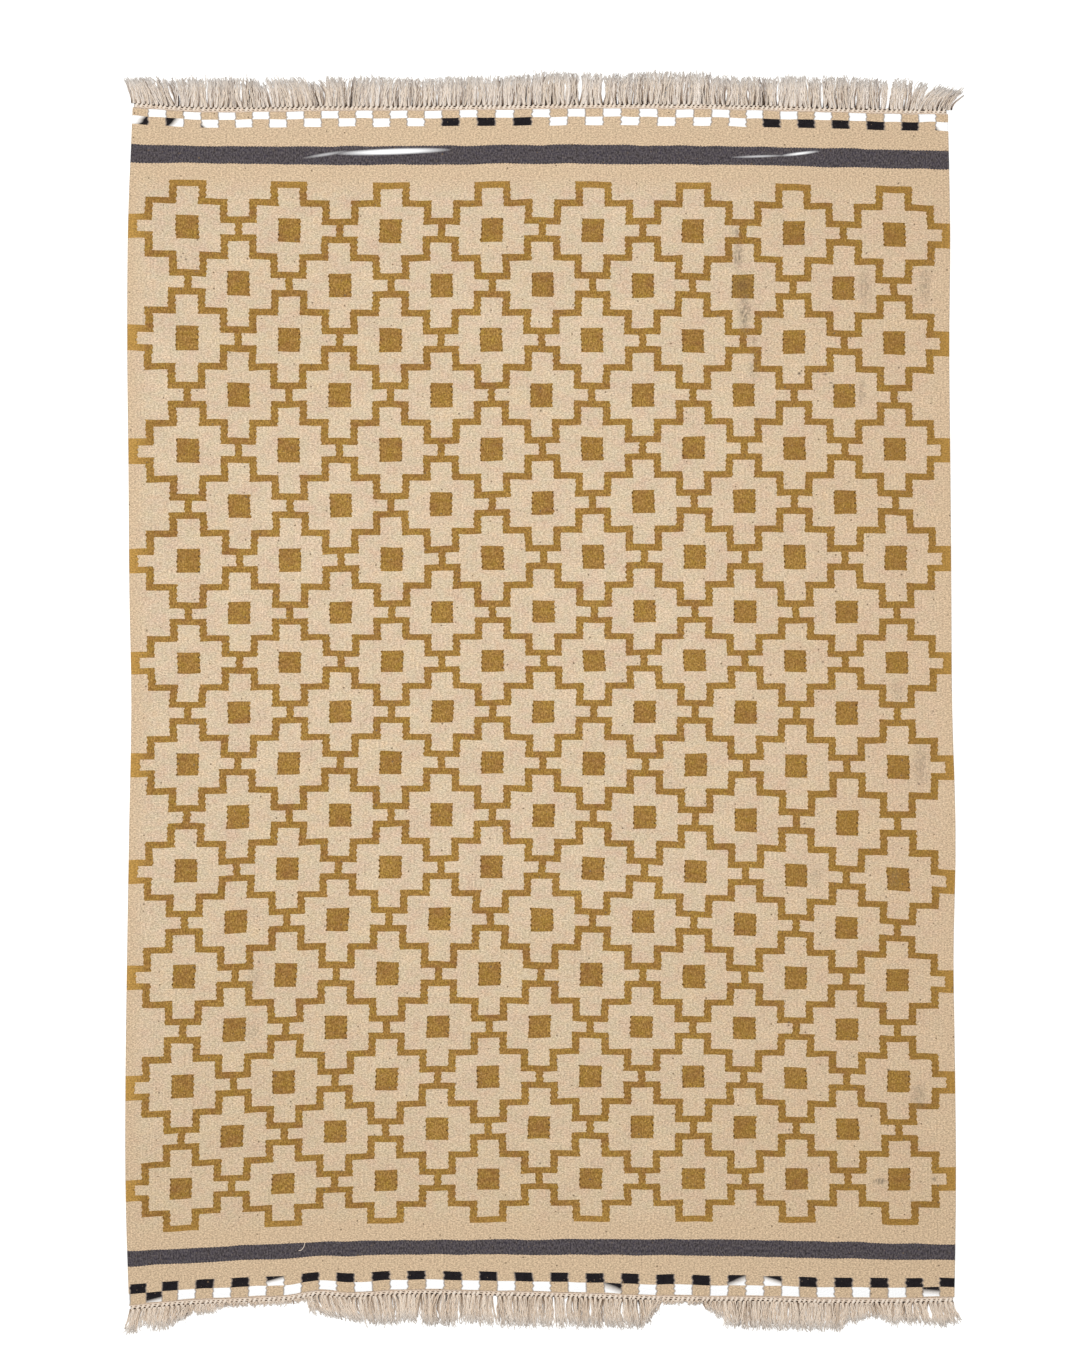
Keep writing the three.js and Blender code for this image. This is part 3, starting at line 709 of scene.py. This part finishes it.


# Painted shade between the knots: a flat dark strip with square shoulders, its section carried along the end
# of the cloth.
def layGapShadeStrip(side):
    across = np.linspace(*endSpan(side), edging["points"])
    low, high, height = edging["gapShadeStrip"]
    section = np.array([(low, 0), (low, height), (high, height), (high, 0)])
    y = endLine(side, across)[:, None] + side * (fringe["gap"] + section[:, 0])
    x, z = np.broadcast_to(across[:, None], y.shape), np.broadcast_to(section[:, 1], y.shape)
    index = np.arange(y.size).reshape(y.shape)
    after = np.roll(index, -1, axis=1)
    walls = np.stack([index[:-1], after[:-1], after[1:], index[1:]], -1).reshape(-1, 4)
    faces = np.concatenate([walls, index[:1, ::-1], index[-1:]])[:, ::side]  # turned over at the near end
    return np.stack([x, y, z], -1).reshape(-1, 3), faces.tolist(), np.zeros((y.size, 2))


# Undyed warp yarn, loosely spun: off-white, matt and hairy, bunch by bunch lighter or darker, in shadow
# below, greyer at the worn tips.
yarnLook = {
    "endTones": {  # from dark to light, the darkest being painted shade on the lowest yarns; the near fringe is the creamier one
        "far": [(0.0, "#3f2f24"), (0.2, "#a18b78"), (0.45, "#d7cbc1"), (0.66, "#eeddc9"), (1.0, "#fcf1e6")],
        "near": [(0.0, "#3f2f24"), (0.2, "#a18a74"), (0.45, "#d9c8b6"), (0.66, "#eed8c0"), (1.0, "#faebda")],
    },
    "knotTones": [(0.2, "#cdb7a2"), (0.6, "#f0ddc9"), (1.0, "#f7eadb")],
    "wornTip": ("#d9d6d3", 0.6, 0.6, 0.5),  # colour, how far out it begins, share at the tip, tone it needs
    "fibre": (0.9, 6.0),  # mm across and along
    "streak": (0.807, 1.009),  # light from fibre to fibre
    "bump": (0.4, 0.3),  # strength, and height in mm
    "gapShadeBrowns": ("#2c211b", "#5c4839", 2.0),  # two browns of the painted shade between the knots, and mm to their grain
}


def warpYarn(name, tones):
    material, tree = newMaterial(name)
    add = partial(addNode, tree)
    yarn = add("SeparateXYZ", [add("UVMap", uv_map="yarn")]).node
    tone, out = yarn.outputs[0], yarn.outputs[1]
    wide, tall = (size * mm for size in yarnLook["fibre"])
    scaled = add("VectorMath", [add("TexCoord").node.outputs["Object"], (1 / wide, 1 / tall, 1 / wide)],
                 operation="MULTIPLY")
    fibre = add("TexNoise", {"Vector": scaled, "Scale": 1.0, "Detail": 2.0})
    colour = linear(tones[0][1])
    for (low, _), (high, tint) in zip(tones, tones[1:]):
        factor = add("MapRange", [tone, low, high, 0, 1])
        colour = add("Mix", {0: factor, 6: colour, 7: linear(tint)}, data_type="RGBA")
    tint, begins, share, fullTone = yarnLook["wornTip"]
    light = add("MapRange", [tone, tones[0][0], fullTone, 0, 1])
    worn = add("Math", [add("MapRange", [out, begins, 1.0, 0, share]), light], operation="MULTIPLY")
    colour = add("Mix", {0: worn, 6: colour, 7: linear(tint)}, data_type="RGBA")
    streak = add("MapRange", [fibre, *noiseRange, *yarnLook["streak"]])
    colour = add("Mix", {0: 1.0, 6: colour, 7: streak}, data_type="RGBA", blend_type="MULTIPLY")
    firm, height = yarnLook["bump"]
    bump = add("Bump", {"Strength": firm, "Distance": height * mm, "Height": fibre})
    shader = add("BsdfPrincipled", {"Base Color": colour, "Roughness": 0.92, "IOR": 1.5, "Normal": bump,
                                    "Specular IOR Level": 0.1, "Sheen Weight": 0.1, "Sheen Roughness": 0.5})
    add("OutputMaterial", {"Surface": shader})
    return material


# Painted shade: a dark brown strip beneath the knots, seen only between them.
def paintedGapShade():
    material, tree = newMaterial("paintedGapShade")
    add = partial(addNode, tree)
    dark, light, size = yarnLook["gapShadeBrowns"]
    place = add("TexCoord").node.outputs["Object"]
    grain = add("TexNoise", {"Vector": place, "Scale": 1 / (size * mm), "Detail": 2.0})
    colour = add("Mix", {0: grain, 6: linear(dark), 7: linear(light)}, data_type="RGBA")
    shader = add("BsdfPrincipled", {"Base Color": colour, "Roughness": 0.95, "IOR": 1.5})
    add("OutputMaterial", {"Surface": shader})
    return material


endYarn = {end: warpYarn(f"warpYarn{end.title()}", tones) for end, tones in yarnLook["endTones"].items()}
knotYarn = warpYarn("warpYarnKnots", yarnLook["knotTones"])
gapShadeMaterial = paintedGapShade()
for name in ("far", "near"):
    end = fringe[name]
    side = end["side"]
    habits = [scatter.normal(0, fringe[habit], bunches(end["locks"]).shape[1])
              for habit in ("bunchTone", "bunchSway", "bunchCurl", "bunchRoot", "bunchWidth")]
    # the first piece is a dark strip beneath the knots, painted shade between them
    made = [("gapShade", layGapShadeStrip(side), gapShadeMaterial), ("cords", layCords(side), knotYarn),
            ("strokes", layStrokes(side), knotYarn)]
    made += [(layer["name"], layYarns(end, habits, layer), endYarn[name]) for layer in fringe["layers"]]
    for part, (points, faces, uv), material in made:
        piece = addPiece(f"{part}_{name}", points + shift, faces, uv, "yarn", material,
                         end["node"])
        print(piece.name, len(faces), "faces")

# A loose thread caught on the near bar: a tube on a curve through a few places, just above the cloth.
thread = {
    "route": [(-398, -957), (-399.5, -963), (-403.5, -968.5), (-408.5, -970)],
    "rings": 14,
    "radius": 0.6,
    "sides": 6,
    "tone": 0.7,
}
threadAt = np.linspace(0, len(thread["route"]) - 1, thread["rings"])
threadPlan = curveThrough(np.arange(len(thread["route"])), np.array(thread["route"], float), threadAt)
threadTop = clothHeights(np.array([threadPlan[0, 0]]), np.array([threadPlan[0, 1]]))[0].item()
threadPath = np.column_stack([threadPlan, np.full(thread["rings"], threadTop + thread["radius"])])
threadRadii = np.full((1, thread["rings"]), thread["radius"])
threadPoints, threadFaces = tubes(threadPath[None], threadRadii, thread["sides"])
threadUv = np.full((len(threadPoints), 2), (thread["tone"], 0.0))
threadPiece = addPiece("loose_thread", threadPoints + shift, threadFaces, threadUv, "yarn", knotYarn,
                       "cloth")
print("loose thread:", len(threadFaces), "faces")

# Floor, light and camera.
studio = {
    "floor": "#f8f8f7", "floorGlow": 0.25, "floorSize": 14.0,
    "world": 0.556,  # strength of the white all round
    "lamp": 68.1, "lampSize": 2.4, "lampPlace": (-0.3, 0.35, 3.0),  # watts and metres
    "aim": (-1.5, 1.7),  # mm from the rug's zero
    "distance": 4.0,  # camera to the rug's middle, metres
    "tilt": 2.6,  # degrees from straight down, towards the near end
    "lens": 62.55,  # mm, and the long side of the picture that it is given for
    "picture": 36.0,
}
half = studio["floorSize"] / 2
floorMesh = bpy.data.meshes.new("floor")
corners = [(-half, -half, 0), (half, -half, 0), (half, half, 0), (-half, half, 0)]
floorMesh.from_pydata(corners, [], [(0, 1, 2, 3)])
floor = bpy.data.objects.new("floor", floorMesh)
bpy.context.scene.collection.objects.link(floor)
floorPaint, floorTree = newMaterial("paleFloor")
floorShader = addNode(floorTree, "BsdfPrincipled", {
    "Base Color": linear(studio["floor"]), "Roughness": 0.9, "Emission Color": (1, 1, 1, 1),
    "Emission Strength": studio["floorGlow"]})
addNode(floorTree, "OutputMaterial", {"Surface": floorShader})
floorMesh.materials.append(floorPaint)

world = bpy.data.worlds.new("studio")
world.use_nodes = True
world.node_tree.nodes["Background"].inputs[0].default_value = (1, 1, 1, 1)
world.node_tree.nodes["Background"].inputs[1].default_value = studio["world"]
bpy.context.scene.world = world
lamp = bpy.data.objects.new("softLamp", bpy.data.lights.new("softLamp", "AREA"))
lamp.data.energy, lamp.data.size = studio["lamp"], studio["lampSize"]
lamp.location = studio["lampPlace"]
lamp.rotation_euler = (Vector((0, 0, 0)) - lamp.location).to_track_quat("-Z", "Y").to_euler()
lamp.visible_camera = False
bpy.context.scene.collection.objects.link(lamp)

camera = bpy.data.objects.new("camera", bpy.data.cameras.new("camera"))
camera.data.lens, camera.data.sensor_width = studio["lens"], studio["picture"]
aim = Vector((*(shift[:2] + studio["aim"]), rug["thickness"])) * mm
tilt = math.radians(studio["tilt"])
camera.location = aim + studio["distance"] * Vector((0, -math.sin(tilt), math.cos(tilt)))
camera.rotation_euler = (tilt, 0, 0)
bpy.context.scene.collection.objects.link(camera)
bpy.context.scene.camera = camera
bpy.context.scene.view_settings.view_transform = "Standard"
print("studio: camera at", [round(c, 3) for c in camera.location])
